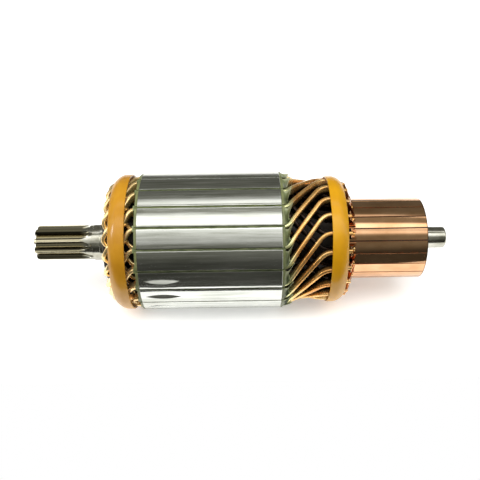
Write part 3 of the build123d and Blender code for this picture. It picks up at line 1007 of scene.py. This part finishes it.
def segment_cheeks(middle):
    """The two walls of a riser, on either side of its bars."""
    out, around = axes(middle)
    top = RISER_TOP - 0.05
    profile = rounded([
        (RISER_START, COM_R - 0.8), (RISER_START, top), (RISER_START + RISER_EDGE, top),
        (COM_START, COM_R), (COM_START, COM_R - 0.8),
    ], [0, 0.25, 0.25, 0.3, 0], 3)
    points, faces = [], []
    for sign in (-1, 1):
        rows = []
        for wide, inset in ((1.12, 0.08), (1.22, 0.0), (2.45, 0.0), (2.6, 0.12)):
            row = []
            for x, r in profile:
                if r > COM_R + 0.5:
                    r -= inset
                row.append(Vector((x * MM, 0, 0)) + (out * r + around * sign * wide) * MM)
            rows.append(row)
        size = (len(rows), len(profile), len(points))
        faces += wrap(*size) + caps(*size)
        points += [p for row in rows for p in row]
    return mesh_from("segment_cheeks", points, faces, 30)


def make_segments():
    """One copper segment with its riser, copied round."""
    middle = BOTTOM + LEAD + PITCH / 2
    work = bmesh.new()
    for part in (segment_body(middle), segment_cheeks(middle)):
        work.from_mesh(part)
        bpy.data.meshes.remove(part)
    mesh = bpy.data.meshes.new("commutator_bar")
    work.to_mesh(mesh)
    work.free()
    for index in range(SLOTS):
        turned = mesh.copy()
        turned.transform(Matrix.Rotation(radians(index * PITCH), 4, "X"))
        piece = new_object(f"commutator_bar_{index + 1:02d}", turned)
        show(piece, "segment_copper", SEGMENT, f"commutator_segment_{index + 1:02d}")
    bpy.data.meshes.remove(mesh)


def make_mouldings():
    outline = [(HUB_START, HUB_BORE_R), (HUB_END, HUB_BORE_R), *DOVETAIL, (HUB_START, COM_R - 2.4)]
    outline = rounded(outline, [0.1, 0.6, 0.2, 0, 0, 0, 0, 0, 0.3], 4)
    mesh = lathe("commutator_moulding", outline, 160)
    show(new_object("commutator_moulding", mesh), "moulding", MOULDING, "commutator_hub")
    outline = [
        (-PACK_HALF, SHAFT_R), (-PACK_HALF, CONE_R), (CONE_SHOULDER, CONE_R),
        (RING_END, CONE_END_R), (RING_END, SHAFT_R),
    ]
    mesh = lathe("drive_end_cone", rounded(outline, [0, 0.2, 1.0, 0.4, 0], 4), 160)
    show(new_object("drive_end_cone", mesh), "moulding", MOULDING, "drive_end_support")


def dress(node, material):
    """Give a CAD node that is shown as it is its material."""
    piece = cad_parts[node]
    if not piece.material_slots:
        piece.data.materials.append(material)
    for place in piece.material_slots:
        place.material = material


make_shaft()
make_thrust_ring()
make_core()
make_end_sheet("drive_end_fibre", "drive_end_lamination", -PACK_HALF, -CORE_HALF)
make_end_sheet("commutator_end_fibre", "commutator_end_lamination", CORE_HALF, PACK_HALF)
make_liners()
make_cuffs()
make_coils()
make_bands()
make_segments()
make_mouldings()
dress("mica_sheets", MICA)
dress("layer_ring", PAPER)
dress("commutator_sleeve", STEEL)
dress("insulating_tube", MOULDING)


# Floor and light.
FLOOR_SIZE = 3.0
FLOOR_FRONT = -0.068

# Brightness of the studio round the shaft, by angle from +Y over +Z: a dim room with
# three long soft boxes parallel to the shaft. Below 0 degrees lies the dark room.
STUDIO_LIGHT = [
    (-180, 0.06), (-8, 0.10), (0, 0.32), (3, 0.15), (12, 0.13), (60, 0.17), (70, 0.24),
    (73, 0.9), (75, 1.2), (77, 2.0), (81, 1.9), (83, 0.35), (97, 0.40),
    (103, 2.3), (118, 2.3), (121, 0.95), (124, 1.6), (129, 1.4),
    (133, 0.5), (138, 0.26), (154, 0.22), (165, 0.19), (180, 0.07),
]
# The room is a little warmer than the boxes, which are brighter than BOX_LEVEL.
BOX_LEVEL = 0.8
ROOM_BLUE = 0.86
BOX_BLUE = 0.97


def make_floor():
    """A plain pale sheet that ends a little in front of the object."""
    z = cad_low.z
    mesh = bpy.data.meshes.new("studio_floor")
    corners = [
        (-FLOOR_SIZE, FLOOR_FRONT, z), (FLOOR_SIZE, FLOOR_FRONT, z),
        (FLOOR_SIZE, FLOOR_SIZE, z), (-FLOOR_SIZE, FLOOR_SIZE, z),
    ]
    mesh.from_pydata(corners, [], [(0, 1, 2, 3)])
    piece = new_object("studio_floor", mesh)
    s = Shader("studio_floor_paper", Roughness=0.9, Specular_IOR_Level=0.1,
               Emission_Color=(1.0, 1.0, 1.0, 1.0), Emission_Strength=0.35)
    cloud = s.noise((3, 3, 3), 2.0)
    s.colour(s.ramp(cloud, [(0.3, (0.90, 0.90, 0.90)), (0.7, (0.92, 0.92, 0.92))]))
    piece.data.materials.append(s.material)


def make_world():
    """The room as STUDIO_LIGHT gives it, and plain white behind the object."""
    world = bpy.data.worlds.new("studio")
    bpy.context.scene.world = world
    world.use_nodes = True
    tree = world.node_tree
    where = tree.nodes.new("ShaderNodeTexCoord")
    split = tree.nodes.new("ShaderNodeSeparateXYZ")
    tree.links.new(where.outputs["Generated"], split.inputs["Vector"])
    angle = tree.nodes.new("ShaderNodeMath")
    angle.operation = "ARCTAN2"
    tree.links.new(split.outputs["Z"], angle.inputs[0])
    tree.links.new(split.outputs["Y"], angle.inputs[1])
    span = tree.nodes.new("ShaderNodeMapRange")
    span.inputs["From Min"].default_value = -pi
    span.inputs["From Max"].default_value = pi
    tree.links.new(angle.outputs["Value"], span.inputs["Value"])
    ramp = tree.nodes.new("ShaderNodeValToRGB")
    elements = ramp.color_ramp.elements
    while len(elements) < len(STUDIO_LIGHT):
        elements.new(0.5)
    for element, (place, value) in zip(elements, STUDIO_LIGHT):
        element.position = (place + 180) / 360
        blue = value * (ROOM_BLUE if value < BOX_LEVEL else BOX_BLUE)
        element.color = (value, value, blue, 1.0)
    tree.links.new(span.outputs["Result"], ramp.inputs["Fac"])
    path = tree.nodes.new("ShaderNodeLightPath")
    # The colours of a mix node are its inputs 6 and 7 and its output 2.
    plain = tree.nodes.new("ShaderNodeMix")
    plain.data_type = "RGBA"
    tree.links.new(path.outputs["Is Camera Ray"], plain.inputs[0])
    tree.links.new(ramp.outputs["Color"], plain.inputs[6])
    plain.inputs[7].default_value = (1.0, 1.0, 1.0, 1.0)
    background = tree.nodes["Background"]
    tree.links.new(plain.outputs[2], background.inputs["Color"])
    background.inputs["Strength"].default_value = 1.0


def soft_box(name, aim, towards, width, height, energy):
    """A soft box that stands off from the aim point by the vector towards, and faces it."""
    data = bpy.data.lights.new(name, "AREA")
    data.shape = "RECTANGLE"
    data.size = width
    data.size_y = height
    data.energy = energy
    box = bpy.data.objects.new(name, data)
    box.location = Vector(aim) + towards
    box.rotation_euler = towards.to_track_quat("Z", "Y").to_euler()
    bpy.context.scene.collection.objects.link(box)
    return box


def make_lights():
    overhead = soft_box("overhead", (0.0, 0.0, 0.0), Vector((0.0, -0.25, 0.9)), 1.4, 0.9, 9.0)
    overhead.visible_glossy = False
    towards = Vector((-0.86, -0.20, 0.45)) * 0.8
    soft_box("left_box", (-0.049, -0.025, 0.026), towards, 0.10, 0.25, 1.2)
    front = radians(140)
    towards = Vector((0.0, cos(front), sin(front))) * 0.8
    soft_box("front_box", (-0.175, 0.0, 0.0), towards, 0.65, 0.20, 0.22)


make_floor()
make_world()
make_lights()
bpy.context.scene.view_settings.view_transform = "Standard"
bpy.context.scene.view_settings.look = "None"
